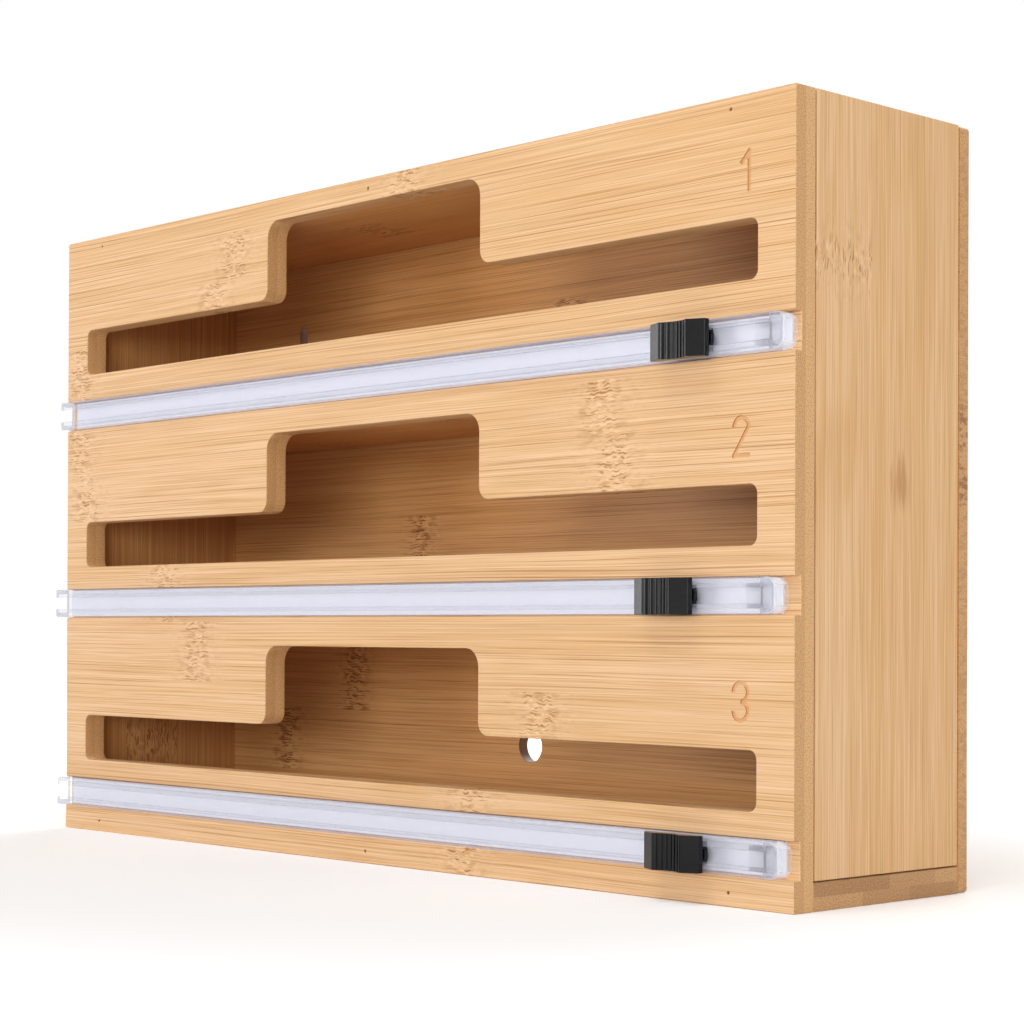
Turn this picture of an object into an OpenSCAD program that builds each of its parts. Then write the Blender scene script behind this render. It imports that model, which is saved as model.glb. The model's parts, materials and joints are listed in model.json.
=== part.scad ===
/* [Cabinet] */
// Width of the cabinet
cabinet_w = 340; // [330:1:400]
// Depth of the cabinet, front face to back face
cabinet_d = 74; // [68:1:100]
// Height of the cabinet
cabinet_h = 211; // [206:1:240]
// Thickness of the front panel
front_t = 8; // [7:0.5:10]
// Thickness of the back panel
back_t = 4; // [3.5:0.5:7]
// Thickness of the left side panel and of the side door
side_t = 7.2; // [6:0.2:9]
// Thickness of the top board
top_t = 6.5; // [5.5:0.5:7]
// Thickness of the bottom board
bottom_t = 7.5; // [5:0.5:9]
// Thickness of each shelf
shelf_t = 5; // [4:0.5:7]
// Radius of the front panel's two left corners
front_round = 1.2; // [0.5:0.1:3]
// Corner radius of the back panel
back_round = 1.5; // [0.5:0.1:3]

/* [Windows] */
// Wood left at each end of a slot
slot_margin = 12.8; // [11:0.2:18]
// Height of a slot
slot_h = 15.8; // [12:0.2:17]
// Height of the lowest slot's sill above the base
slot_z = 25.2; // [24:0.2:27]
// Drop from the cabinet's top to the highest slot's sill
slot_drop = 48.3; // [47.5:0.1:52]
// Width of the raised step over the middle of a slot
step_w = 102; // [60:1:130]
// Rise of the step above the slot
step_rise = 25.4; // [18:0.2:25.6]
// Corner radius at the slot's ends
slot_round = 2.5; // [1:0.5:5]
// Corner radius at the top of the step
step_round = 5.5; // [2:0.5:9]
// Radius of the wood's corners where the step meets the slot
shoulder_round = 4; // [1:0.5:8]

/* [Numerals] */
// Height of an engraved numeral
numeral_h = 11; // [8:0.5:14]
// Width of an engraved stroke
numeral_stroke = 1.2; // [0.8:0.1:1.6]
// Depth of the engraving
numeral_depth = 0.4; // [0.2:0.1:0.8]
// Height of a numeral's foot above its window's sill
numeral_rise = 22.8; // [19:0.2:26]
// Gap from a numeral's right edge to the cabinet's end
numeral_margin = 15; // [12:0.5:60]

/* [Side door] */
// Reach of the door's tongues into the panels' grooves
tongue_reach = 2; // [1:0.1:2.2]
// Thickness of the door's tongues
tongue_t = 3; // [2:0.2:4]
// Running clearance round the tongues and under the door
door_clear = 0.3; // [0.2:0.05:0.5]
// Shadow gap between the door's edges and the panels
door_gap = 0.4; // [0.3:0.1:1]

/* [Wall keyholes] */
// Diameter of a keyhole's round entry
keyhole_d = 10.7; // [8:0.1:12]
// Width of a keyhole's slot
keyhole_slot_w = 4.4; // [4:0.1:6]
// Rise from the round entry's centre to the slot's end centre
keyhole_rise = 9.4; // [8:0.1:14]
// Distance between the two upper keyholes
keyhole_spacing = 242.8; // [160:0.2:260]
// Height of a keyhole's entry above its window's sill
keyhole_z = 8.6; // [6:0.2:11]

/* [Cutter rails] */
// Height of the lowest rail's centre above the base
cutter_z = 13.5; // [13.2:0.1:15]
// Drop from the cabinet's top to the highest rail's centre
cutter_drop = 62.7; // [62:0.1:66]
// Overall height of a rail
rail_h = 9.7; // [9.4:0.1:11]
// Stretch by which the front of a rail stands out of the panel
rail_proud = 3.5; // [3:0.1:5]
// Amount by which a rail is shorter than the cabinet is wide
rail_trim = 2; // [0:0.1:4]
// Shift of each rail to the left, bottom to top
rail_shift = [1.2, 2.5, -0.2];
// Thickness of a rail's walls
rail_wall = 1.5; // [1.2:0.1:1.7]
// Thickness of a rail's floor
rail_floor = 1; // [0.8:0.1:1.2]
// Inward reach of a rail's lips
lip_reach = 1.25; // [1:0.05:1.4]
// Thickness of a rail's lips
lip_t = 1.2; // [0.8:0.1:1.4]
// Bevel on a rail's outer front edges
rail_bevel = 0.5; // [0.2:0.1:0.7]
// Depth of the groove that holds a rail
groove_depth = 2.5; // [2:0.1:3]
// Clearance between a rail and its groove, each side
groove_clear = 0.15; // [0.1:0.05:0.3]
// Thickness of the tape behind a rail
tape_t = 0.5; // [0.3:0.1:0.8]
// Width of the tape
tape_w = 9.2; // [5:0.1:9.4]
// Distance from each end of a capped rail to the tape behind it
tape_margin = 2; // [2:0.5:15]
// Length of an end cap
cap_len = 5; // [4.5:0.5:8]
// Corner radius of an end cap
cap_round = 3.2; // [2:0.1:4]
// Length of an end cap's plug inside the rail
plug_len = 6; // [4:0.5:9]
// Clearance round the plug
plug_clear = 0.1; // [0.05:0.05:0.2]

/* [Sliders] */
// Gap from each rail's right end to the grip's end face, bottom to top
slider_gap = [25.3, 28, 25.1];
// Length of a grip along its rail
grip_len = 19.5; // [18:0.5:22]
// Height of a grip
grip_h = 9.8; // [8:0.1:11]
// Thickness of a grip at its two ends
grip_end_t = 1.7; // [1.2:0.1:2.5]
// Depth of a grip from the rail's lips to its crests
grip_depth = 3.7; // [3.3:0.1:5]
// Distance between the two crests of the thumb saddle
crest_gap = 10.2; // [8:0.1:12]
// Depth of the thumb saddle between the crests
saddle_depth = 1.6; // [1:0.1:1.9]
// Number of ribs across the saddle
rib_count = 7; // [5:1:9]
// Height of a rib
rib_h = 0.4; // [0.2:0.05:0.45]
// Running clearance between a slider and its rail
slider_clear = 0.3; // [0.2:0.05:0.4]
// Stretch by which a shoe's neck runs out past the grip at each end
neck_overhang = 0.1; // [0:0.1:3]
// Stretch by which a shoe's foot stays inside the grip's length at each end
foot_inset = 2.6; // [0.2:0.1:3]
// Height of the shoe's neck between the lips
neck_h = 3.4; // [3:0.1:3.6]
// Corner radius at the ends of the neck
neck_round = 0.8; // [0.2:0.1:1.4]
// Length of the post that joins a shoe to its grip
post_len = 6; // [4:0.5:7]
// Depth of the post inside the grip
post_depth = 1.3; // [1:0.1:1.5]
// Thickness of a blade
blade_t = 0.4; // [0.3:0.05:0.5]
// Length of a blade
blade_len = 9.4; // [8:0.1:10]
// Length by which a blade's edges slope in at each end
blade_slope = 1.2; // [0.5:0.1:2]
// Length of the opening on each side of the post, where the blade's edge is bare
blade_bare = 3; // [2.5:0.1:4]
// Reach of the blade into the grip
blade_reach = 1.2; // [0.8:0.1:1.4]
// Clearance round the post and the blade
fit_clear = 0.05; // [0.03:0.01:0.1]

/* [Brads] */
// Diameter of a brad
brad_d = 0.9; // [0.8:0.1:1.6]
// Length of a brad
brad_len = 20; // [14:1:25]
// Depth at which a brad's head is sunk
brad_sink = 0.5; // [0.2:0.1:1]
// Distance of the outer brads from the cabinet's ends
brad_margin = 22; // [15:1:40]
// Distance between the two brads in each end of a board
brad_spacing = 36; // [20:1:44]
// Clearance round a brad
brad_clear = 0.04; // [0.02:0.01:0.08]

/* [Hidden] */
$fn = 48;
over = 1;
bays = [0, 1, 2];
last_bay = 2;

bamboo = [0.93, 0.76, 0.55];
bamboo_side = [0.86, 0.70, 0.50];
bamboo_inner = [0.80, 0.62, 0.42];
clear_plastic = [0.84, 0.87, 0.95, 0.6];
white_tape = [0.94, 0.95, 0.98];
black_plastic = [0.10, 0.10, 0.11];
steel = [0.72, 0.73, 0.75];

half_w = cabinet_w / 2;
front_y = -cabinet_d / 2;
back_y = cabinet_d / 2;
inner_front_y = front_y + front_t;
inner_back_y = back_y - back_t;
left_inner_x = -half_w + side_t;
door_inner_x = half_w - side_t;
board_end_x = door_inner_x - door_clear;
top_under_z = cabinet_h - top_t;
bay_h = (top_under_z - bottom_t - last_bay * shelf_t) / len(bays);

slot_w = cabinet_w - 2 * slot_margin;
slot_pitch = (cabinet_h - slot_drop - slot_z) / last_bay;
cutter_pitch = (cabinet_h - cutter_drop - cutter_z) / last_bay;

rail_len = cabinet_w - rail_trim;
groove_y = front_y + groove_depth;
rail_back_y = groove_y - tape_t;
rail_front_y = front_y - rail_proud;
rail_d = rail_back_y - rail_front_y;
channel_h = rail_h - 2 * rail_wall;
channel_d = rail_d - rail_floor - lip_t;

grip_back_y = rail_front_y - slider_clear;
crest_y = grip_back_y - grip_depth;
neck_len = grip_len + 2 * neck_overhang;
foot_len = grip_len - 2 * foot_inset;
foot_h = channel_h - 2 * slider_clear;
foot_back_y = rail_back_y - rail_floor - slider_clear;
foot_front_y = rail_front_y + lip_t + slider_clear;
neck_front_y = rail_front_y + slider_clear;
post_front_y = grip_back_y - post_depth;
blade_front_y = grip_back_y - blade_reach;
blade_back_y = foot_front_y;
// Corners of one round-backed rib, as shares of the ribs' pitch and of a rib's height
rib_steps = 6;
rib_half = 0.4;
rib_corners = [
    for (s = [0 : rib_steps])
        let (a = 180 * s / rib_steps)
        [0.5 - rib_half * cos(a), sin(a)]
];

brad_hole_d = brad_d + 2 * brad_clear;
brad_xs = [-half_w + brad_margin, 0, half_w - brad_margin];
bay_mid_y = (inner_front_y + inner_back_y) / 2;
brad_ys = [bay_mid_y - brad_spacing / 2, bay_mid_y + brad_spacing / 2];
shelf_mid_zs = [for (i = [1, 2]) shelf_under_z(i) + shelf_t / 2];
top_mid_z = cabinet_h - top_t / 2;
bottom_mid_z = bottom_t / 2;

function shelf_under_z(i) = bottom_t + i * bay_h + (i - 1) * shelf_t;
function sill_z(i) = slot_z + i * slot_pitch;
function rail_z(i) = cutter_z + i * cutter_pitch;
function rail_left_x(i) = -rail_len / 2 - rail_shift[i];
function rail_right_x(i) = rail_len / 2 - rail_shift[i];
function slider_x(i) = rail_right_x(i) - slider_gap[i] - grip_len / 2;

// A box between two opposite corners
module span_box(low, high) {
    translate(low)
        cube(high - low);
}

// A flat outline drawn in X and Z, made solid from y_back forward to y_front
module upright_slab(y_front, y_back) {
    translate([0, y_back, 0])
        rotate([90, 0, 0])
            linear_extrude(y_back - y_front)
                children();
}

// A flat outline drawn in X and Y, made solid over a height centred on z
module level_slab(z, h) {
    translate([0, 0, z - h / 2])
        linear_extrude(h)
            children();
}

// Rectangle with round corners, its lower left corner at the origin
module round_rect(w, h, r) {
    translate([r, 0])
        square([w - 2 * r, h]);
    translate([0, r])
        square([w, h - 2 * r]);
    for (x = [r, w - r], y = [r, h - r])
        translate([x, y])
            circle(r);
}

// Outline of the stepped window, its sill on the X axis
module window_outline() {
    translate([-slot_w / 2, 0])
        round_rect(slot_w, slot_h, slot_round);
    translate([-step_w / 2, slot_h / 2])
        round_rect(step_w, slot_h / 2 + step_rise, step_round);
    for (side = [0, 1])
        mirror([side, 0])
            difference() {
                translate([step_w / 2 - over, slot_h - over])
                    square(shoulder_round + over);
                translate([step_w / 2 + shoulder_round, slot_h + shoulder_round])
                    circle(shoulder_round);
            }
}

// Full-size board of the front or the back, with round corners
module panel_board(y_front, y_back, r) {
    upright_slab(y_front, y_back)
        translate([-half_w, 0])
            round_rect(cabinet_w, cabinet_h, r);
}

module window_cut(i) {
    translate([0, 0, sill_z(i)])
        upright_slab(front_y - over, inner_front_y + over)
            window_outline();
}

module cutter_groove(i) {
    groove_h = rail_h + 2 * groove_clear;
    span_box(
        [-half_w - over, front_y - over, rail_z(i) - groove_h / 2],
        [half_w + over, groove_y, rail_z(i) + groove_h / 2]
    );
}

// Straight stroke of a numeral between two points
module stroke(from, to) {
    run = to - from;
    translate(from)
        rotate(atan2(run[1], run[0]))
            translate([-numeral_stroke / 2, -numeral_stroke / 2])
                square([norm(run) + numeral_stroke, numeral_stroke]);
}

// Round stroke of a numeral, a full ring
module ring(r) {
    difference() {
        circle(r + numeral_stroke / 2);
        circle(r - numeral_stroke / 2);
    }
}

// Plain numerals, right edge on the Z axis and foot on the X axis
module numeral(n) {
    half = numeral_stroke / 2;
    r = (numeral_h - numeral_stroke) / 4;
    middle_x = -r - half;
    left_x = middle_x - r;
    crown = numeral_h - half;
    if (n == 1) {
        stroke([-half, half], [-half, crown]);
        stroke([-half, crown], [-half - r, crown - r]);
    }
    if (n == 2) {
        difference() {
            translate([middle_x, crown - r])
                ring(r);
            translate([left_x - over, crown - 2 * r - over])
                square([2 * r + 2 * over, r + over]);
        }
        stroke([-half, crown - r], [left_x, half]);
        stroke([left_x, half], [-half, half]);
    }
    if (n == 3)
        difference() {
            union() {
                translate([middle_x, crown - r])
                    ring(r);
                translate([middle_x, half + r])
                    ring(r);
            }
            translate([left_x - over, half + r])
                square([r + over, 2 * r]);
        }
}

module numeral_cut(i) {
    translate([half_w - numeral_margin, 0, sill_z(i) + numeral_rise])
        upright_slab(front_y - over, front_y + numeral_depth)
            numeral(len(bays) - i);
}

// Upright slot that a door tongue runs in, open at the top
module door_groove(y_low, y_high) {
    span_box(
        [door_inner_x - door_clear, y_low, bottom_t],
        [door_inner_x + tongue_t + door_clear, y_high, cabinet_h + over]
    );
}

// Row of pins that point inward from the front face, headed just below it
module front_brad_pins(d, sink) {
    for (x = brad_xs, z = [bottom_mid_z, top_mid_z])
        translate([x, front_y + sink, z])
            rotate([-90, 0, 0])
                cylinder(h = brad_len - sink + brad_sink, d = d);
}

// Pins that point inward from the back face into every level board
module back_brad_pins(d, sink) {
    for (x = brad_xs, z = concat([bottom_mid_z, top_mid_z], shelf_mid_zs))
        translate([x, back_y - sink, z])
            rotate([90, 0, 0])
                cylinder(h = brad_len - sink + brad_sink, d = d);
}

// Pins that point inward from the left end into the top board and the shelves
module side_brad_pins(d, sink) {
    for (y = brad_ys, z = concat([top_mid_z], shelf_mid_zs))
        translate([-half_w + sink, y, z])
            rotate([0, 90, 0])
                cylinder(h = brad_len - sink + brad_sink, d = d);
}

module brad_holes() {
    front_brad_pins(brad_hole_d, -over);
    back_brad_pins(brad_hole_d, -over);
    side_brad_pins(brad_hole_d, -over);
}

module front_panel() {
    color(bamboo)
        difference() {
            union() {
                panel_board(front_y, inner_front_y, front_round);
                span_box([0, front_y, 0], [half_w, inner_front_y, cabinet_h]);
            }
            for (i = bays) {
                window_cut(i);
                cutter_groove(i);
                numeral_cut(i);
            }
            door_groove(inner_front_y - tongue_reach - door_clear, inner_front_y + over);
            front_brad_pins(brad_hole_d, -over);
        }
}

// Keyhole through the back panel: a round entry with a narrow slot above it
module keyhole(x, i) {
    translate([x, inner_back_y - over, sill_z(i) + keyhole_z])
        rotate([-90, 0, 0]) {
            cylinder(h = back_t + 2 * over, d = keyhole_d);
            translate([0, -keyhole_rise, 0])
                cylinder(h = back_t + 2 * over, d = keyhole_slot_w);
            translate([-keyhole_slot_w / 2, -keyhole_rise, 0])
                cube([keyhole_slot_w, keyhole_rise, back_t + 2 * over]);
        }
}

module back_panel() {
    color(bamboo_inner)
        difference() {
            panel_board(inner_back_y, back_y, back_round);
            for (side = [-1, 1])
                keyhole(side * keyhole_spacing / 2, last_bay);
            keyhole(0, 0);
            door_groove(inner_back_y - over, inner_back_y + tongue_reach + door_clear);
            back_brad_pins(brad_hole_d, -over);
        }
}

module left_side_panel() {
    color(bamboo_side)
        difference() {
            span_box([-half_w, inner_front_y, bottom_t], [left_inner_x, inner_back_y, cabinet_h]);
            side_brad_pins(brad_hole_d, -over);
        }
}

module side_door() {
    foot_z = bottom_t + door_clear;
    color(bamboo_side) {
        span_box(
            [door_inner_x, inner_front_y + door_gap, foot_z],
            [half_w, inner_back_y - door_gap, cabinet_h]
        );
        span_box(
            [door_inner_x, inner_front_y - tongue_reach, foot_z],
            [door_inner_x + tongue_t, inner_back_y + tongue_reach, cabinet_h]
        );
    }
}

module top_board() {
    color(bamboo_inner)
        difference() {
            span_box([left_inner_x, inner_front_y, top_under_z], [board_end_x, inner_back_y, cabinet_h]);
            brad_holes();
        }
}

module bottom_board() {
    color(bamboo_side)
        difference() {
            span_box([-half_w, inner_front_y, 0], [half_w, inner_back_y, bottom_t]);
            brad_holes();
        }
}

// Shelf that carries the roll bay of the given number
module shelf(i) {
    under_z = shelf_under_z(i);
    color(bamboo_inner)
        difference() {
            span_box([left_inner_x, inner_front_y, under_z], [board_end_x, inner_back_y, under_z + shelf_t]);
            brad_holes();
        }
}

// Corners of the rail's section from its floor up to its top, in depth and height
function rail_corners() =
    let (inner_h = channel_h / 2, outer_h = rail_h / 2)
    [
        [-rail_floor, inner_h],
        [lip_t - rail_d, inner_h],
        [lip_t - rail_d, inner_h - lip_reach],
        [-rail_d, inner_h - lip_reach],
        [-rail_d, outer_h - rail_bevel],
        [rail_bevel - rail_d, outer_h],
        [0, outer_h]
    ];

// Closed C section of a rail, its lower half the mirror image of its upper half
module rail_section() {
    upper = rail_corners();
    count = len(upper);
    lower = [for (k = [1 : count]) [upper[count - k][0], -upper[count - k][1]]];
    polygon(concat(upper, lower));
}

module rail(i) {
    color(clear_plastic)
        translate([rail_left_x(i), rail_back_y, rail_z(i)])
            rotate([90, 0, 90])
                linear_extrude(rail_len - cap_len)
                    rail_section();
}

module rail_tape(i) {
    color(white_tape)
        span_box(
            [rail_left_x(i) + tape_margin, rail_back_y, rail_z(i) - tape_w / 2],
            [rail_right_x(i) - tape_margin, groove_y, rail_z(i) + tape_w / 2]
        );
}

module rail_cap(i) {
    cap_x = rail_right_x(i) - cap_len;
    plug_h = channel_h - 2 * plug_clear;
    plug_back_y = rail_back_y - rail_floor - plug_clear;
    color(clear_plastic)
        translate([cap_x, 0, rail_z(i)]) {
            upright_slab(rail_front_y, rail_back_y)
                difference() {
                    translate([-cap_len, -rail_h / 2])
                        round_rect(2 * cap_len, rail_h, cap_round);
                    translate([-cap_len - over, -rail_h])
                        square([cap_len + over, 2 * rail_h]);
                }
            span_box(
                [-plug_len, plug_back_y - channel_d + 2 * plug_clear, -plug_h / 2],
                [over, plug_back_y, plug_h / 2]
            );
        }
}

// Front line of the thumb saddle at a distance from the middle of the grip
function saddle_y(x) = crest_y + saddle_depth * (1 - pow(2 * x / crest_gap, 2));

// Outline of a grip seen from above: sloping ends and a ribbed saddle between two crests
module grip_outline() {
    half_len = grip_len / 2;
    half_gap = crest_gap / 2;
    end_y = grip_back_y - grip_end_t;
    pitch = crest_gap / rib_count;
    ribs = [
        for (k = [0 : rib_count - 1], c = rib_corners)
            let (x = -half_gap + (k + c[0]) * pitch)
            [x, saddle_y(x) - c[1] * rib_h]
    ];
    polygon(concat(
        [
            [half_len, end_y],
            [half_len, grip_back_y],
            [-half_len, grip_back_y],
            [-half_len, end_y],
            [-half_gap, crest_y]
        ],
        ribs,
        [[half_gap, crest_y]]
    ));
}

// Post of a shoe, grown all round by a clearance
module post(grow) {
    span_box(
        [-post_len / 2 - grow, post_front_y - grow, -neck_h / 2 - grow],
        [post_len / 2 + grow, neck_front_y, neck_h / 2 + grow]
    );
}

// Flat blade whose two cutting edges slope in towards the rail, grown by a clearance
module blade_plate(grow) {
    tip = blade_len / 2 + grow;
    root = tip - blade_slope;
    level_slab(0, blade_t + 2 * grow)
        polygon([
            [-tip, blade_front_y - grow],
            [tip, blade_front_y - grow],
            [root, blade_back_y + grow],
            [-root, blade_back_y + grow]
        ]);
}

// Opening in a shoe's neck, right of its post, where one of the blade's edges is bare
module blade_window() {
    span_box(
        [post_len / 2, neck_front_y - over, -neck_h],
        [post_len / 2 + blade_bare, foot_front_y, neck_h]
    );
}

module grip(i) {
    color(black_plastic)
        translate([slider_x(i), 0, rail_z(i)])
            difference() {
                level_slab(0, grip_h)
                    grip_outline();
                post(fit_clear);
                blade_plate(fit_clear);
            }
}

module shoe(i) {
    color(black_plastic)
        translate([slider_x(i), 0, rail_z(i)])
            difference() {
                union() {
                    span_box(
                        [-foot_len / 2, foot_front_y, -foot_h / 2],
                        [foot_len / 2, foot_back_y, foot_h / 2]
                    );
                    upright_slab(neck_front_y, foot_front_y)
                        translate([-neck_len / 2, -neck_h / 2])
                            round_rect(neck_len, neck_h, neck_round);
                    post(0);
                }
                blade_plate(fit_clear);
                for (side = [0, 1])
                    mirror([side, 0, 0])
                        blade_window();
            }
}

module blade(i) {
    color(steel)
        translate([slider_x(i), 0, rail_z(i)])
            blade_plate(0);
}

module front_brads() {
    color(steel)
        front_brad_pins(brad_d, brad_sink);
}

module back_brads() {
    color(steel)
        back_brad_pins(brad_d, brad_sink);
}

module side_brads() {
    color(steel)
        side_brad_pins(brad_d, brad_sink);
}

front_panel();
back_panel();
left_side_panel();
side_door();
top_board();
bottom_board();
shelf(2);  // upper_shelf
shelf(1);  // lower_shelf
rail(2);  // top_rail
rail(1);  // middle_rail
rail(0);  // bottom_rail
rail_tape(2);  // top_rail_tape
rail_tape(1);  // middle_rail_tape
rail_tape(0);  // bottom_rail_tape
rail_cap(2);  // top_rail_cap
rail_cap(1);  // middle_rail_cap
rail_cap(0);  // bottom_rail_cap
grip(2);  // top_grip
grip(1);  // middle_grip
grip(0);  // bottom_grip
shoe(2);  // top_shoe
shoe(1);  // middle_shoe
shoe(0);  // bottom_shoe
blade(2);  // top_blade
blade(1);  // middle_blade
blade(0);  // bottom_blade
front_brads();
back_brads();
side_brads();
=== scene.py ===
import json
import math

import bmesh
import bpy
from mathutils import Matrix, Vector


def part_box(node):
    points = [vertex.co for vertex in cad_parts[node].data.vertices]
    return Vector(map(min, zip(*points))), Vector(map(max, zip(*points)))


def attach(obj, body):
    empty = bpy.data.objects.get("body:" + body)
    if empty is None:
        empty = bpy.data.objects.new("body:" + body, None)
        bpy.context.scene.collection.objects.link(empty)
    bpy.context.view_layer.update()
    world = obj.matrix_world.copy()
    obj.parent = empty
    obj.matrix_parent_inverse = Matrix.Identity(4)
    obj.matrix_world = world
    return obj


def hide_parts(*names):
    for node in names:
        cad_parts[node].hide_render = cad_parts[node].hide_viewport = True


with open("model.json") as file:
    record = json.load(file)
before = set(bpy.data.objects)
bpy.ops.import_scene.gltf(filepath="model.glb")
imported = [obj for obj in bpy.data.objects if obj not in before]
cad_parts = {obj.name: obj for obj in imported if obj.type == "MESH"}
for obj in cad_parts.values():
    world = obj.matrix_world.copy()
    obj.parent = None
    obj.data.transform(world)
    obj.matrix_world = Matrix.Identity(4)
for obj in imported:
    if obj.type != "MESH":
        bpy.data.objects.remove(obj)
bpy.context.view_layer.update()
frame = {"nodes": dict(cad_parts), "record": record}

mm = 0.001
scene = bpy.context.scene
rows = ("top", "middle", "bottom")  # the three cutters
noiseSpan = (0.3, 0.7)  # most values of a noise lie between these
print("frame loaded:", len(frame["nodes"]), "pieces")


def paint(red, green, blue):
    # Screen colour, 0 to 255, as the linear colour that shaders take
    def linear(value):
        share = value / 255
        return share / 12.92 if share <= 0.04045 else ((share + 0.055) / 1.055) ** 2.4
    return (linear(red), linear(green), linear(blue), 1.0)


class Shade:
    # One material and short words for the shader nodes in it

    def __init__(self, name):
        self.material = bpy.data.materials.new(name)
        self.material.use_nodes = True
        self.tree = self.material.node_tree
        self.surface = self.tree.nodes["Principled BSDF"]

    def plug(self, value, socket):
        if isinstance(value, bpy.types.NodeSocket):
            self.tree.links.new(value, socket)
        else:
            socket.default_value = value

    def put(self, kind, **settings):
        node = self.tree.nodes.new("ShaderNode" + kind)
        for name, value in settings.items():
            setattr(node, name, value)
        return node

    def calc(self, operation, *values):
        node = self.put("Math", operation=operation)
        for value, socket in zip(values, node.inputs):
            self.plug(value, socket)
        return node.outputs[0]

    def vector(self, *values):
        node = self.put("CombineXYZ")
        for value, socket in zip(values, node.inputs):
            self.plug(value, socket)
        return node.outputs[0]

    def parts(self, vector):
        node = self.put("SeparateXYZ")
        self.plug(vector, node.inputs[0])
        return node.outputs

    def dice(self, *values):
        # Three chances that stay the same for the same values
        node = self.put("TexWhiteNoise")
        self.plug(self.vector(*values), node.inputs["Vector"])
        return self.parts(node.outputs["Color"])

    def noise(self, vector, detail, rough=0.5):
        node = self.put("TexNoise")
        self.plug(vector, node.inputs["Vector"])
        node.inputs["Scale"].default_value = 1.0
        node.inputs["Detail"].default_value = detail
        node.inputs["Roughness"].default_value = rough
        return node.outputs[0]

    def ramp(self, value, low, high, start=0.0, end=1.0):
        # Smooth change from start to end as value goes from low to high
        node = self.put("MapRange", interpolation_type="SMOOTHSTEP")
        for given, name in ((value, "Value"), (low, "From Min"), (high, "From Max"),
                            (start, "To Min"), (end, "To Max")):
            self.plug(given, node.inputs[name])
        return node.outputs[0]

    def mix(self, factor, first, second):
        node = self.put("Mix", data_type="RGBA")
        firstColour, secondColour = node.inputs[6:8]  # after the number and vector sockets of the same names
        self.plug(factor, node.inputs["Factor"])
        self.plug(first, firstColour)
        self.plug(second, secondColour)
        return node.outputs[2]

    def bump(self, height, strength, depth):
        node = self.put("Bump")
        node.inputs["Strength"].default_value = strength
        node.inputs["Distance"].default_value = depth
        self.plug(height, node.inputs["Height"])
        self.plug(node.outputs[0], self.surface.inputs["Normal"])

    def wear(self, node):
        node.data.materials.clear()
        node.data.materials.append(self.material)


# Bamboo boards: strips glued side by side in plies, with a knuckle here and there
bambooTones = {
    "front": {"pale": (229, 188, 143), "warm": (220, 174, 120), "line": (174, 118, 60),
              "light": (240, 204, 163), "endPale": (221, 176, 122), "endDeep": (172, 123, 73)},
    "side": {"pale": (231, 190, 144), "warm": (216, 169, 112), "line": (174, 121, 66),
             "light": (243, 205, 160), "endPale": (205, 160, 110), "endDeep": (150, 105, 64)},
    # a browner, more saturated copy of the bamboo for the boards seen from inside the bays: painted shade
    "shadedInner": {"pale": (228, 174, 112), "warm": (218, 160, 95), "line": (150, 92, 43),
              "light": (237, 188, 129), "endPale": (218, 170, 116), "endDeep": (146, 98, 56)},
}
bambooGrain = {  # millimetres, and shares of 1
    # Three kinds of fibre line; each has a key, so that its chances differ from the others'
    "bold": {"pitch": 1.7, "thick": 0.17, "length": 80.0, "key": 3.0},
    "thin": {"pitch": 0.8, "thick": 0.11, "length": 28.0, "key": 11.0, "strength": 0.5},
    "dash": {"pitch": 1.0, "thick": 0.30, "length": 3.5, "key": 23.0},
    "lineSpread": 0.5, "lineStart": 0.25,      # where in its lane a line may lie
    "thinnest": 0.4, "solid": 0.3,             # of a line's thickness; how much of it is at full strength
    "breaks": (0.40, 0.62),                    # noise in which a line fades in
    "breakShift": 90.0, "breakStep": 7.3,      # keep the breaks of neighbouring lines apart
    "hairWidth": 0.42, "bandLength": 260.0, "bandWidth": 5.0, "streakRough": 0.55,
    "drift": {"size": (140.0, 12.0, 12.0), "height": 2.2},
    "plyShift": 0.43, "stripShift": 40.0,      # how far the next ply's strips and a strip's fibres are moved
    "seam": (0.488, 0.5), "seamStrength": 0.2, "stripTone": 0.6,
    "dotSize": 0.4, "endTurn": (0.45, 0.85),   # how far a cut end faces along the grain
    "roughness": (0.42, 0.56), "roughest": 0.8, "gloss": 0.35,
    "bump": 0.05, "groove": 0.04 * mm,
}
bambooMarks = {  # start, full: where a mark sets in and is at full strength; size: of its own waves
    "band": {"start": 0.35, "full": 0.7, "strength": 0.8},
    "cloud": {"size": (45.0, 9.0, 9.0), "start": 0.0, "full": 0.25, "strength": 0.7},
    "paleHair": {"start": 0.5, "full": 0.3, "strength": 0.6},
    "darkHair": {"start": 0.48, "full": 0.72, "strength": 0.4},
    "patch": {"size": (5.0, 2.5, 2.5), "start": 0.0, "full": 0.2, "strength": 0.45},
    "chip": {"size": (2.6, 0.9, 0.9), "start": 0.05, "full": 0.18, "strength": 0.55},
    "stain": {"size": (14.0, 1.1, 1.1), "height": 1.6, "start": 1.1, "full": 0.2, "strength": 0.6},
    "darkDot": {"start": 0.5, "full": 0.66, "strength": 0.65},
    "paleDot": {"start": 0.42, "full": 0.3, "strength": 0.45},
    "tear": {"size": (50.0, 1.3, 2.6), "start": -0.05, "full": 0.15, "strength": 0.9},
}
knuckleShape = {  # millimetres along the strip: where each part starts and is at full strength
    "core": (8.0, 3.6), "halo": (25.0, 2.0), "patches": (16.0, 6.0),
    "zigzag": {"size": (2.6, 3.5, 3.5), "height": 2.0},
    "bend": {"size": (11.0, 4.0, 4.0), "height": 1.2},
    "wander": 7.0, "wanderSize": 5.0,
    "coreStrokes": 0.7, "haloStrokes": 0.4, "haloPale": 0.35,
    "calm": 0.75,  # long lines fade this much near a knuckle
}
anyBoard = {"block": 0.4, "knuckleSize": 1.0, "knuckleDepth": 1.0, "contrast": 0.8}
faceBoard = dict(anyBoard, axes=(0, 2, 1), blocky=0.0)
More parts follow.
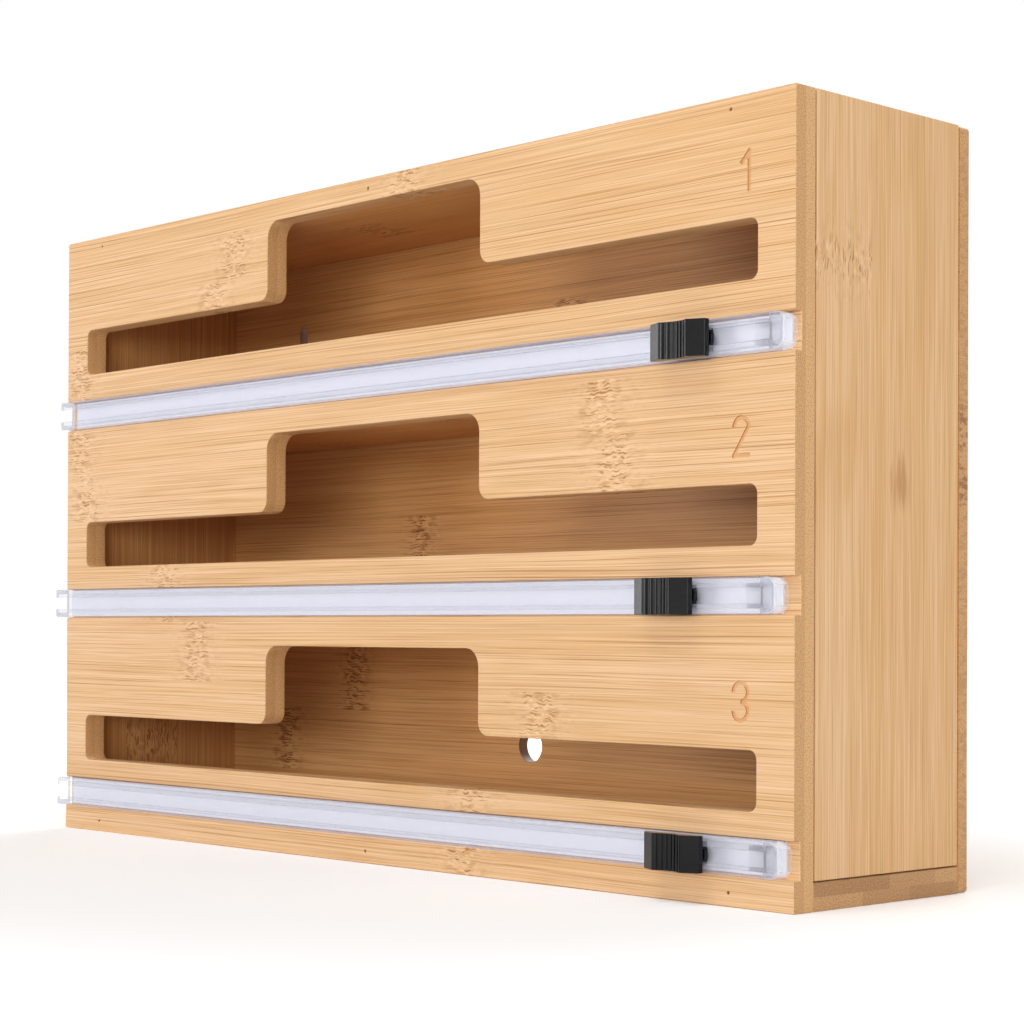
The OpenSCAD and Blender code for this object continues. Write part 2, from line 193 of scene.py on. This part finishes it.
plainBoard = dict(anyBoard, blocky=1.0, bold=0.3, hair=40.0)
sideBoard = dict(plainBoard, axes=(2, 1, 0), strip=22.7, ply=3.7)
flatBoard = dict(plainBoard, axes=(0, 1, 2), strip=20.0, stripStart=-29.0)
boardLooks = {
    # axes: along the grain, across the strips, through the plies; blocky: strips show in the cut ends
    # block: how much the plies and strips of a cut end differ; tones: how warm each strip is
    # knuckles: one place along each strip, in millimetres; again: how far back the next one lies
    "front_panel": dict(
        faceBoard, tone="front", strip=15.5, stripStart=1.5, ply=4.0, contrast=0.95, bold=0.7, hair=90.0,
        knuckleDepth=0.85, wide={"from": 54.2, "to": 94.5, "strip": 20.15}, again=263.0,
        knuckles=[44, 48, 48, 77, -90, -108, None, 106, 101, -162, -161, -80, -69, 17],
        tones=[0.1, 0.4, 0.0, 0.3, 0.1, 0.6, 0.4, 0.2, 0.7, 0.5, 0.9, 0.7, 1.0, 0.8]),
    "back_panel": dict(
        faceBoard, tone="shadedInner", strip=22.7, stripStart=-2.2, ply=4.5, bold=0.4, hair=60.0,
        knuckleSize=0.65, knuckleDepth=1.7, knuckles=[None, -130, -91, 70, -55, None, 60, 18, None, 90],
        tornEnd={"across": 120.0, "reach": 18.0, "full": 10.8, "least": 0.3}),
    # its inside ply is darkened: painted shade on the bays' left walls
    "left_side_panel": dict(
        sideBoard, tone="shadedInner", stripStart=-29.0, knuckles=[60, 30, None], innerPlyShade=0.3),
    "side_door": dict(
        sideBoard, tone="side", stripStart=-18.8, knuckles=[168, None, None], tones=[0.0, 0.7, 0.5],
        knuckleSize=0.75, knuckleDepth=0.7,
        stain={"along": 111.0, "across": 7.0, "length": 9.0, "width": 5.0}),
    "top_board": dict(flatBoard, tone="shadedInner", ply=3.25, knuckles=[70, -40, 120]),
    "bottom_board": dict(flatBoard, tone="side", ply=3.75, knuckles=[-60, 20, -130], block=0.8),
    "upper_shelf": dict(flatBoard, tone="shadedInner", ply=5.0, knuckles=[10, 130, -90]),
    "lower_shelf": dict(flatBoard, tone="shadedInner", ply=5.0, knuckles=[-110, 40, 90]),
}
noKnuckle = 900.0  # millimetres, well off every board


def perStrip(shade, strip, shares):
    # One share, 0 to 1, for each strip in turn
    ramp = shade.put("ValToRGB")
    ramp.color_ramp.interpolation = "CONSTANT"
    stops = ramp.color_ramp.elements
    stops.remove(stops[1])
    for index, share in enumerate(shares):
        stop = stops[0] if index == 0 else stops.new(index / len(shares))
        stop.color = (share, share, share, 1.0)
    position = shade.calc("DIVIDE", shade.calc("ADD", strip, 0.5), float(len(shares)))
    shade.plug(position, ramp.inputs[0])
    return ramp.outputs[0]


def knuckleCentres(shade, strip, places):
    # Place of the knuckle along each strip, in millimetres
    full = [noKnuckle if place is None else place for place in places]
    share = perStrip(shade, strip, [place / (2 * noKnuckle) + 0.5 for place in full])
    return shade.calc("MULTIPLY", shade.calc("SUBTRACT", share, 0.5), 2 * noKnuckle)


def fibreLines(shade, along, across, ply, shift, line):
    # Thin lines side by side; each has its own place, thickness and breaks
    grain = bambooGrain
    lane = shade.calc("ADD", shade.calc("DIVIDE", across, line["pitch"]), shift)
    index = shade.calc("FLOOR", lane)
    dice = shade.dice(index, ply, line["key"])
    centre = shade.calc("MULTIPLY_ADD", dice[0], grain["lineSpread"], grain["lineStart"])
    gap = shade.calc("ABSOLUTE", shade.calc("SUBTRACT", shade.calc("FRACT", lane), centre))
    gap = shade.calc("MULTIPLY", gap, line["pitch"])
    half = shade.calc("MULTIPLY_ADD", dice[1], line["thick"], grain["thinnest"] * line["thick"])
    strand = shade.ramp(gap, half, shade.calc("MULTIPLY", half, grain["solid"]))
    run = shade.calc("DIVIDE", along, line["length"])
    run = shade.calc("MULTIPLY_ADD", dice[2], grain["breakShift"], run)
    step = shade.calc("MULTIPLY", index, grain["breakStep"])
    breaks = shade.noise(shade.vector(run, step, line["key"]), detail=1.0)
    return shade.calc("MULTIPLY", strand, shade.ramp(breaks, *grain["breaks"]))


def bambooFinish(name, look, plyStart, seed, burnsAndShade):
    shade = Shade(name)
    tone = {key: paint(*value) for key, value in bambooTones[look["tone"]].items()}
    grain, knuckle = bambooGrain, knuckleShape
    where = shade.put("TexCoord")
    metres = shade.parts(where.outputs["Object"])
    along, across, through = (shade.calc("MULTIPLY", metres[axis], 1 / mm) for axis in look["axes"])

    def wave(size, height=1.0):
        # Noise about zero, with waves of this size in millimetres along, across and through
        spot = (shade.calc("DIVIDE", value, part) for value, part in zip((along, across, through), size))
        ripple = shade.noise(shade.vector(*spot), detail=1.0)
        return shade.calc("MULTIPLY", shade.calc("SUBTRACT", ripple, 0.5), height)

    def mark(kind, value=None, share=1.0):
        # Strength of a mark by the given value, or else by its own waves
        settings = bambooMarks[kind]
        value = wave(settings["size"]) if value is None else value
        return shade.ramp(value, settings["start"], settings["full"], 0.0, settings["strength"] * share)

    # Which ply and which strip a point is in, and three chances for that strip
    ply = shade.calc("FLOOR", shade.calc("DIVIDE", shade.calc("SUBTRACT", through, plyStart), look["ply"]))
    lane = shade.calc("DIVIDE", shade.calc("SUBTRACT", across, look["stripStart"]), look["strip"])
    if "wide" in look:  # two wider strips among the others
        wide = look["wide"]
        below = shade.calc("MAXIMUM", shade.calc("SUBTRACT", wide["to"], across), 0.0)
        below = shade.calc("MINIMUM", below, wide["to"] - wide["from"])
        lane = shade.calc("MULTIPLY_ADD", below, 1 / look["strip"] - 1 / wide["strip"], lane)
    lane = shade.calc("MULTIPLY_ADD", ply, grain["plyShift"], lane)
    strip = shade.calc("FLOOR", lane)
    luck = shade.dice(strip, ply, float(seed))

    # How far a point is from the strip's knuckle, which bends the fibres into a zigzag
    centre = knuckleCentres(shade, strip, look["knuckles"])
    sideways = shade.calc("DIVIDE", across, knuckle["wanderSize"])
    wander = shade.noise(shade.vector(sideways, strip, ply), detail=1.0)
    shifted = shade.calc("MULTIPLY_ADD", shade.calc("SUBTRACT", wander, 0.5), knuckle["wander"], along)
    reach = shade.calc("ABSOLUTE", shade.calc("SUBTRACT", shifted, centre))
    if "again" in look:  # the next knuckle along the same strip
        second = shade.calc("SUBTRACT", shade.calc("ADD", shifted, look["again"]), centre)
        reach = shade.calc("MINIMUM", reach, shade.calc("ABSOLUTE", second))
    reach = shade.calc("DIVIDE", reach, look["knuckleSize"])
    core = shade.ramp(reach, *knuckle["core"])
    halo = shade.ramp(reach, *knuckle["halo"])
    swayed = shade.calc("MULTIPLY_ADD", wave(**knuckle["zigzag"]), core, across)
    swayed = shade.calc("MULTIPLY_ADD", wave(**knuckle["bend"]), halo, swayed)
    swayed = shade.calc("ADD", wave(**grain["drift"]), swayed)

    # Fibres: lines, fine hair, broad bands and the seams between strips
    shift = shade.calc("MULTIPLY", luck[0], grain["stripShift"])
    bold = fibreLines(shade, along, swayed, ply, shift, grain["bold"])
    thin = fibreLines(shade, along, swayed, ply, shift, grain["thin"])
    dash = fibreLines(shade, along, swayed, ply, shift, grain["dash"])

    def streak(length, width):
        run = shade.calc("ADD", shade.calc("DIVIDE", along, length), shift)
        spot = shade.vector(run, shade.calc("DIVIDE", swayed, width), shade.calc("DIVIDE", through, width))
        return shade.noise(spot, detail=2.0, rough=grain["streakRough"])

    hair = streak(look["hair"], grain["hairWidth"])
    band = streak(grain["bandLength"], grain["bandWidth"])
    calm = shade.calc("SUBTRACT", 1.0, shade.calc("MULTIPLY", halo, knuckle["calm"]))
    edge = shade.calc("ABSOLUTE", shade.calc("SUBTRACT", shade.calc("FRACT", lane), 0.5))
    seam = shade.ramp(edge, *grain["seam"])

    # Ground of a face along the grain
    warmth = perStrip(shade, strip, look["tones"]) if "tones" in look else luck[1]
    ground = shade.mix(shade.calc("MULTIPLY", warmth, grain["stripTone"]), tone["pale"], tone["warm"])
    ground = shade.mix(mark("band", band), ground, tone["warm"])
    ground = shade.mix(mark("cloud"), ground, tone["warm"])
    ground = shade.mix(shade.calc("MULTIPLY", halo, knuckle["haloPale"]), ground, tone["pale"])
    if "innerPlyShade" in look:  # painted shade: the ply on the inside, which forms the bays' left walls, is pulled towards the brown end tone
        inside = shade.calc("MULTIPLY", shade.calc("GREATER_THAN", ply, 0.5), look["innerPlyShade"])
        ground = shade.mix(inside, ground, tone["endDeep"])
    patches = mark("patch", share=look["knuckleDepth"])  # brown, round a knuckle
    patches = shade.calc("MULTIPLY", patches, shade.ramp(reach, *knuckle["patches"]))
    ground = shade.mix(patches, ground, tone["line"])
    ground = shade.mix(mark("paleHair", hair, look["contrast"]), ground, tone["light"])

    # Dark fibres over it, and pale chips between a knuckle's strokes
    dark = mark("darkHair", hair)
    dark = shade.calc("MULTIPLY_ADD", shade.calc("MULTIPLY", bold, calm), look["bold"], dark)
    dark = shade.calc("MULTIPLY_ADD", shade.calc("MULTIPLY", thin, calm), grain["thin"]["strength"], dark)
    dark = shade.calc("MULTIPLY", dark, look["contrast"])
    strokes = shade.calc("MULTIPLY", halo, knuckle["haloStrokes"])
    strokes = shade.calc("MULTIPLY_ADD", core, knuckle["coreStrokes"], strokes)
    strokes = shade.calc("MULTIPLY", strokes, look["knuckleDepth"])
    dark = shade.calc("MULTIPLY_ADD", dash, strokes, dark)
    dark = shade.calc("MULTIPLY_ADD", seam, grain["seamStrength"], dark)
    dark = shade.calc("MINIMUM", dark, 1.0)
    faceColour = shade.mix(dark, ground, tone["line"])
    faceColour = shade.mix(shade.calc("MULTIPLY", mark("chip"), core), faceColour, tone["light"])
    if "stain" in look:  # where a shoot once grew
        spot, ragged = look["stain"], bambooMarks["stain"]
        up = shade.calc("DIVIDE", shade.calc("SUBTRACT", along, spot["along"]), spot["length"])
        aside = shade.calc("DIVIDE", shade.calc("SUBTRACT", swayed, spot["across"]), spot["width"])
        far = shade.calc("SQRT", shade.calc("MULTIPLY_ADD", up, up, shade.calc("MULTIPLY", aside, aside)))
        far = shade.calc("ADD", wave(ragged["size"], ragged["height"]), far)
        faceColour = shade.mix(mark("stain", far), faceColour, tone["line"])

    # Cut ends show the fibres as dots, a little darker
    dots = shade.noise(shade.vector(shade.calc("DIVIDE", across, grain["dotSize"]),
                                    shade.calc("DIVIDE", through, grain["dotSize"]), ply), detail=1.0)
    block = shade.dice(shade.calc("MULTIPLY", strip, look["blocky"]), ply, float(seed) + 0.5)[0]
    endColour = shade.mix(shade.calc("MULTIPLY", block, look["block"]), tone["endPale"], tone["endDeep"])
    endColour = shade.mix(mark("darkDot", dots), endColour, tone["endDeep"])
    endColour = shade.mix(mark("paleDot", dots), endColour, tone["pale"])
    if "tornEnd" in look:  # fibres that the saw tore
        torn = look["tornEnd"]
        off = shade.calc("ABSOLUTE", shade.calc("SUBTRACT", across, torn["across"]))
        near = shade.ramp(off, torn["reach"], torn["full"], torn["least"], 1.0)
        endColour = shade.mix(shade.calc("MULTIPLY", mark("tear"), near), endColour, tone["endDeep"])
    normal = shade.parts(where.outputs["Normal"])
    facing = shade.calc("ABSOLUTE", normal[look["axes"][0]])
    colour = shade.mix(shade.ramp(facing, *grain["endTurn"]), faceColour, endColour)

    # Darkened cuts: engraved floors under the face, scorched by the tool, and painted shade on the walls of
    # holes inside the board's edges
    for darkening in burnsAndShade:
        within = 1.0
        for value, way in ((along, "along"), (across, "across"), (through, "through")):
            low, high = darkening[way]
            within = shade.calc("MULTIPLY", within, shade.calc("GREATER_THAN", value, low))
            within = shade.calc("MULTIPLY", within, shade.calc("LESS_THAN", value, high))
        outward = shade.calc("ABSOLUTE", normal[look["axes"][2]])
        turned = shade.calc("GREATER_THAN" if darkening["flat"] else "LESS_THAN", outward, 0.5)
        share = shade.calc("MULTIPLY", shade.calc("MULTIPLY", within, turned), darkening["strength"])
        colour = shade.mix(share, colour, paint(*darkening["colour"]))

    shade.plug(colour, shade.surface.inputs["Base Color"])
    shine = shade.ramp(dark, 0.0, grain["roughest"], *grain["roughness"])
    shade.plug(shine, shade.surface.inputs["Roughness"])
    shade.surface.inputs["Specular IOR Level"].default_value = grain["gloss"]
    shade.bump(dark, grain["bump"], -grain["groove"])
    return shade


# Worked edges: each solid with its outer corners eased, as the router, the sander and the mould leave them
easing = {
    "weld": 0.002 * mm, "flat": 0.3, "sharp": 40.0,      # flat and sharp are in degrees
    "shortest": 0.3 * mm,                                # leaves the rims of pin holes alone
    "room": 2.5,                                         # widths that a face needs beside an eased edge
    "board": {"width": 0.45 * mm, "segments": 2},
    "thinBoard": {"width": 0.25 * mm, "segments": 2},    # the back, so that its keyholes stay narrow
    "grip": {"width": 0.15 * mm, "segments": 2},
    "rail": {"width": 0.2 * mm, "segments": 2},
    "cap": {"width": 0.35 * mm, "segments": 2},
}
bodyOf = {node: body for body, nodes in frame["record"]["behaviour"]["bodies"].items() for node in nodes}


def looseShape(nodeName):
    shape = bmesh.new()
    shape.from_mesh(frame["nodes"][nodeName].data)
    bmesh.ops.remove_doubles(shape, verts=shape.verts, dist=easing["weld"])
    bmesh.ops.dissolve_limit(shape, angle_limit=math.radians(easing["flat"]), verts=shape.verts,
                             edges=shape.edges)
    return shape


def isCorner(edge):
    if len(edge.link_faces) != 2 or edge.calc_length() < easing["shortest"]:
        return False
    return edge.calc_face_angle_signed(0.0) > math.radians(easing["sharp"])


def spanAcross(edge):
    # Narrowest of the two faces beside an edge, measured square to the edge
    start = edge.verts[0].co
    direction = (edge.verts[1].co - start).normalized()
    spans = []
    for face in edge.link_faces:
        sideways = face.normal.cross(direction)
        reach = [(vert.co - start).dot(sideways) for vert in face.verts]
        spans.append(max(reach) - min(reach))
    return min(spans)


def ease(shape, edges, width, segments):
    bmesh.ops.bevel(shape, geom=edges, offset=width, offset_type="OFFSET", segments=segments, profile=0.5,
                    affect="EDGES", clamp_overlap=False, miter_outer="SHARP", miter_inner="SHARP")
    bmesh.ops.remove_doubles(shape, verts=shape.verts, dist=easing["weld"])  # leaves no folded slivers


def addPiece(name, shape, shade, body, stands):
    mesh = bpy.data.meshes.new(name)
    for face in shape.faces:
        face.smooth = True
    for edge in shape.edges:
        edge.smooth = edge.calc_face_angle(0.0) < math.radians(easing["sharp"])
    shape.to_mesh(mesh)
    shape.free()
    piece = bpy.data.objects.new(name, mesh)
    scene.collection.objects.link(piece)
    shade.wear(piece)
    piece.modifiers.new("evenShade", "WEIGHTED_NORMAL").keep_sharp = True
    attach(piece, body)
    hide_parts(stands)


def standIn(nodeName, shape, shade):
    addPiece(nodeName.replace("_", ""), shape, shade, bodyOf[nodeName], nodeName)


def easedCopy(nodeName, shade, work):
    # The node's shape with its outer corners worked, in its place
    shape = looseShape(nodeName)
    least = easing["room"] * work["width"]
    ease(shape, [edge for edge in shape.edges if isCorner(edge) and spanAcross(edge) > least], **work)
    standIn(nodeName, shape, shade)


# Darkened cuts of the boards, in millimetres: scorched engraving, and painted shade on the keyhole walls
everywhere = (-1000.0, 1000.0)
engraving = {"depth": (0.15, 0.7), "strength": 0.55, "colour": (216, 156, 94)}
# painted shade on the walls of the keyholes in the back
keyholeShade = {"margin": 4.0, "strength": 0.85, "colour": (106, 56, 32)}


def burnAndShadePlaces(nodeName, low, high):
    if nodeName == "front_panel":
        face = low.y / mm
        return [dict(engraving, flat=True, along=everywhere, across=everywhere,
                     through=tuple(face + part for part in engraving["depth"]))]
    if nodeName == "back_panel":
        # painted shade on the keyhole walls
        margin = keyholeShade["margin"]
        return [dict(keyholeShade, flat=False, along=(low.x / mm + margin, high.x / mm - margin),
                     across=(low.z / mm + margin, high.z / mm - margin), through=everywhere)]
    return []


for seed, (nodeName, look) in enumerate(boardLooks.items()):
    low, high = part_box(nodeName)
    shade = bambooFinish(nodeName + "_bamboo", look, low[look["axes"][2]] / mm, seed,
                         burnAndShadePlaces(nodeName, low, high))
    easedCopy(nodeName, shade, easing["thinBoard" if nodeName == "back_panel" else "board"])
print("boards made:", len(boardLooks))


# Clear rails and their end caps: extruded plastic, a little milky, over white tape
# dense: how solid faces and painted edges look; turn: where a face turns enough to take the painted edge,
# from first to fully
clearPlastic = {"index": 1.45, "shadow": 0.05, "streakWidth": 0.5, "streakRough": 0.6,
                "bumpDepth": 0.05 * mm}
# Their edge colour is darker than their face: painted shade on the lips' edges and on the tops and
# undersides of the walls
railLook = dict(
    clearPlastic, face=(204, 205, 221), paintedEdge=(186, 186, 204), dense=(0.18, 0.55), roughness=(0.12, 0.18),
    turn=(0.95, 0.4), streakLength=200.0, bump=0.01)
# Their edge colour is whiter than their face: a painted highlight along the worked edges
capLook = dict(
    clearPlastic, face=(200, 203, 219), paintedEdge=(236, 237, 246), dense=(0.2, 0.65), roughness=(0.08, 0.16),
    turn=(0.98, 0.88), streakLength=3.0, bump=0.08,
    plug=0.03, plugFade=0.1,          # how solid its end in the rail looks, and the millimetres of change
    outline=1.0, outlineFade=0.5)     # the painted highlight on the edges starts this far from the rail's end
tapeLook = {"pale": (250, 251, 254), "dull": (242, 244, 250), "mottle": 3.0, "roughness": 0.6,
            "bump": 0.2, "bumpDepth": 0.05 * mm,
            "gap": 0.03 * mm}  # keeps its face off the rail's own back face


def clearFinish(name, look, railEnd=None):
    # A cap is given the rail's end, where its plug stops; a rail isn't
    shade = Shade(name)
    where = shade.put("TexCoord")
    x, y, z = (shade.calc("MULTIPLY", part, 1 / mm) for part in shade.parts(where.outputs["Object"]))
    streak = shade.noise(shade.vector(shade.calc("DIVIDE", x, look["streakLength"]),
                                      shade.calc("DIVIDE", y, look["streakWidth"]),
                                      shade.calc("DIVIDE", z, look["streakWidth"])),
                         detail=2.0, rough=look["streakRough"])
    flat = shade.put("VectorTransform", vector_type="NORMAL", convert_from="WORLD", convert_to="OBJECT")
    shade.plug(shade.put("NewGeometry").outputs["True Normal"], flat.inputs[0])
    alongX, alongY, alongZ = (shade.calc("ABSOLUTE", part) for part in shade.parts(flat.outputs[0]))
    if railEnd is None:
        # on a rail, painted shade on the faces that turn away from the front
        paintedEdge = shade.ramp(alongY, *look["turn"])
    else:  # a painted highlight along its worked edges only
        paintedEdge = shade.ramp(shade.calc("MAXIMUM", shade.calc("MAXIMUM", alongX, alongY), alongZ), *look["turn"])
        start = railEnd + look["outline"]
        paintedEdge = shade.calc("MULTIPLY", paintedEdge, shade.ramp(x, start, start + look["outlineFade"]))
    # edge colour over the face colour: painted shade on rails, a painted highlight on caps
    shade.plug(shade.mix(paintedEdge, paint(*look["face"]), paint(*look["paintedEdge"])), shade.surface.inputs["Base Color"])
    shade.surface.inputs["IOR"].default_value = look["index"]
    dense = shade.ramp(paintedEdge, 0.0, 1.0, *look["dense"])
    if railEnd is not None:
        dense = shade.ramp(x, railEnd - look["plugFade"], railEnd, look["plug"], dense)
    shaded = shade.put("LightPath").outputs["Is Shadow Ray"]  # light comes through to the tape
    shade.plug(shade.ramp(shaded, 0.0, 1.0, dense, look["shadow"]), shade.surface.inputs["Alpha"])
    shade.plug(shade.ramp(streak, *noiseSpan, *look["roughness"]), shade.surface.inputs["Roughness"])
    shade.bump(streak, look["bump"], look["bumpDepth"])
    return shade


def tapeFinish():
    shade = Shade("white_tape")
    where = shade.put("TexCoord").outputs["Object"]
    scaled = shade.put("VectorMath", operation="SCALE")
    shade.plug(where, scaled.inputs[0])
    scaled.inputs["Scale"].default_value = 1 / (tapeLook["mottle"] * mm)
    mottle = shade.noise(scaled.outputs[0], detail=3.0, rough=0.6)
    colour = shade.mix(mottle, paint(*tapeLook["pale"]), paint(*tapeLook["dull"]))
    shade.plug(colour, shade.surface.inputs["Base Color"])
    shade.surface.inputs["Roughness"].default_value = tapeLook["roughness"]
    shade.bump(mottle, tapeLook["bump"], tapeLook["bumpDepth"])
    return shade


def makeTape(nodeName, shade):
    shape = looseShape(nodeName)
    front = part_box(nodeName)[0].y
    for vert in shape.verts:
        if vert.co.y < front + tapeLook["gap"]:
            vert.co.y += tapeLook["gap"]
    standIn(nodeName, shape, shade)


railShade = clearFinish("clear_rail", railLook)
tapeShade = tapeFinish()
for row in rows:
    easedCopy(row + "_rail", railShade, easing["rail"])
    capShade = clearFinish(row + "_clear_cap", capLook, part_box(row + "_rail")[1].x / mm)
    easedCopy(row + "_rail_cap", capShade, easing["cap"])
    makeTape(row + "_rail_tape", tapeShade)
print("rails, caps and tapes finished")


# Sliders and brads: satin black grips and shoes, a small ground blade between them, and drawn wire
# grain: millimetres along x, y and z
blackLook = {"pale": (9, 9, 10), "dull": (17, 17, 18), "grain": (0.35, 0.35, 0.35),
             "roughness": (0.16, 0.26), "metal": 0.0, "bumpDepth": 0.03 * mm, "gloss": 0.22}
bladeLook = {"pale": (206, 208, 212), "dull": (168, 171, 176), "grain": (4.0, 0.12, 0.12),
             "roughness": (0.2, 0.36), "metal": 1.0, "bumpDepth": 0.01 * mm}
bradLook = {"pale": (160, 116, 78), "dull": (124, 86, 54), "grain": (0.25, 0.25, 0.25),
            "roughness": (0.4, 0.6), "metal": 0.3, "bumpDepth": 0.02 * mm}
satinBump = 0.2


def grainNoise(shade, sizes, detail):
    # Noise whose grains have the given size in millimetres along x, y and z
    where = shade.parts(shade.put("TexCoord").outputs["Object"])
    scaled = [shade.calc("DIVIDE", part, size * mm) for part, size in zip(where, sizes)]
    return shade.noise(shade.vector(*scaled), detail, rough=0.55)


def satinFinish(name, look):
    shade = Shade(name)
    grain = grainNoise(shade, look["grain"], detail=3.0)
    colour = shade.mix(grain, paint(*look["pale"]), paint(*look["dull"]))
    shade.plug(colour, shade.surface.inputs["Base Color"])
    shade.plug(shade.ramp(grain, *noiseSpan, *look["roughness"]), shade.surface.inputs["Roughness"])
    shade.surface.inputs["Metallic"].default_value = look["metal"]
    shade.bump(grain, satinBump, look["bumpDepth"])
    return shade


blackShade = satinFinish("black_plastic", blackLook)
bladeShade = satinFinish("blade_steel", bladeLook)
bradShade = satinFinish("brad_steel", bradLook)
blackShade.surface.inputs["Specular IOR Level"].default_value = blackLook["gloss"]
for row in rows:
    easedCopy(row + "_grip", blackShade, easing["grip"])
    blackShade.wear(frame["nodes"][row + "_shoe"])
    bladeShade.wear(frame["nodes"][row + "_blade"])
for place in ("front", "back", "side"):
    bradShade.wear(frame["nodes"][place + "_brads"])
print("sliders and brads finished")


# Studio: pale floor, white surround and soft lamps
white = (1.0, 1.0, 1.0, 1.0)
skyLook = {"light": 0.2, "shown": 1.0}
floorLook = {"half": 8.0, "pale": (246, 246, 246), "dull": (240, 240, 240), "cloud": 400.0, "roughness": 0.9,
             "glow": (0.22, 1.0), "fade": (0.15, 0.6)}  # the shown floor turns white away from the object
middle = (0.0, 0.0, 0.1)  # of the cabinet, roughly
lampLooks = {  # metres and watts; size: width and height
    "leftFrontLamp": {"place": (-0.9, -1.9, 0.32), "aim": middle, "size": (1.0, 0.5), "power": 8.2},
    "rightFrontLamp": {"place": (1.1, -1.7, 0.32), "aim": middle, "size": (1.0, 0.5), "power": 14.0},
    "topLamp": {"place": (0.2, -0.8, 1.8), "aim": (0.1, -0.4, 0.0), "size": (1.2, 1.2), "power": 14.0},
    "rightLamp": {"place": (1.8, -0.2, 0.9), "aim": middle, "size": (1.4, 1.4), "power": 10.0},
    "leftLamp": {"place": (-1.8, -0.35, 0.4), "aim": middle, "size": (0.8, 1.0), "power": 6.0},
    "backLamp": {"place": (-0.6, 1.7, 1.3), "aim": middle, "size": (1.6, 1.6), "power": 22.0},
}


def shownRays(shade):
    # 1 for the rays that show the surround: seen directly, mirrored or through clear plastic
    rays = shade.put("LightPath")
    seen = shade.calc("MAXIMUM", rays.outputs["Is Camera Ray"], rays.outputs["Is Glossy Ray"])
    return shade.calc("MAXIMUM", seen, rays.outputs["Is Transmission Ray"])


class Sky(Shade):
    # The world takes the same words as a material

    def __init__(self, name):
        scene.world = bpy.data.worlds.new(name)
        scene.world.use_nodes = True
        self.tree = scene.world.node_tree
        self.surface = self.tree.nodes["Background"]


def makeSky():
    shade = Sky("studioSky")
    shade.surface.inputs["Color"].default_value = white
    strength = shade.ramp(shownRays(shade), 0.0, 1.0, skyLook["light"], skyLook["shown"])
    shade.plug(strength, shade.surface.inputs["Strength"])


def makeFloor():
    half = floorLook["half"]
    mesh = bpy.data.meshes.new("floor")
    corners = [(-half, -half, 0), (half, -half, 0), (half, half, 0), (-half, half, 0)]
    mesh.from_pydata(corners, [], [(0, 1, 2, 3)])
    floor = bpy.data.objects.new("floor", mesh)
    scene.collection.objects.link(floor)
    shade = Shade("studio_floor")
    cloud = grainNoise(shade, [floorLook["cloud"]] * 3, detail=2.0)
    shade.plug(shade.mix(cloud, paint(*floorLook["pale"]), paint(*floorLook["dull"])),
               shade.surface.inputs["Base Color"])
    shade.surface.inputs["Roughness"].default_value = floorLook["roughness"]
    shade.surface.inputs["Specular IOR Level"].default_value = 0.0
    shade.surface.inputs["Emission Color"].default_value = white
    away = shade.put("VectorMath", operation="LENGTH")
    shade.plug(shade.put("TexCoord").outputs["Object"], away.inputs[0])
    glow = shade.ramp(away.outputs["Value"], *floorLook["fade"], *floorLook["glow"])
    shade.plug(shade.calc("MULTIPLY", shownRays(shade), glow), shade.surface.inputs["Emission Strength"])
    shade.wear(floor)


def makeLamp(name, look):
    data = bpy.data.lights.new(name, "AREA")
    data.shape = "RECTANGLE"
    data.size, data.size_y = look["size"]
    data.energy = look["power"]
    lamp = bpy.data.objects.new(name, data)
    scene.collection.objects.link(lamp)
    toAim = Vector(look["aim"]) - Vector(look["place"])
    facing = toAim.to_track_quat("-Z", "Y").to_matrix().to_4x4()
    lamp.matrix_world = Matrix.Translation(look["place"]) @ facing


makeSky()
makeFloor()
for name, look in lampLooks.items():
    makeLamp(name, look)
scene.view_settings.view_transform = "Standard"
print("studio lit")


# Camera, off the right front corner, a third of the way up the cabinet
cameraLook = {
    "place": (0.5402, -0.4830, 0.0714),
    "turn": 46.785, "tilt": 0.41, "roll": 0.23,  # degrees: left of straight ahead, up, and to the right
    "lens": 79.9, "sensor": 36.0, "shiftUp": 0.1009, "nearest": 0.01,
}


def makeCamera():
    data = bpy.data.cameras.new("camera")
    data.lens = cameraLook["lens"]
    data.sensor_width = cameraLook["sensor"]
    data.shift_y = cameraLook["shiftUp"]
    data.clip_start = cameraLook["nearest"]
    camera = bpy.data.objects.new("camera", data)
    scene.collection.objects.link(camera)
    turn = Matrix.Rotation(math.radians(cameraLook["turn"]), 4, "Z")
    tilt = Matrix.Rotation(math.radians(90 + cameraLook["tilt"]), 4, "X")
    roll = Matrix.Rotation(math.radians(cameraLook["roll"]), 4, "Z")
    camera.matrix_world = Matrix.Translation(cameraLook["place"]) @ turn @ tilt @ roll
    scene.camera = camera


makeCamera()
print("camera placed")
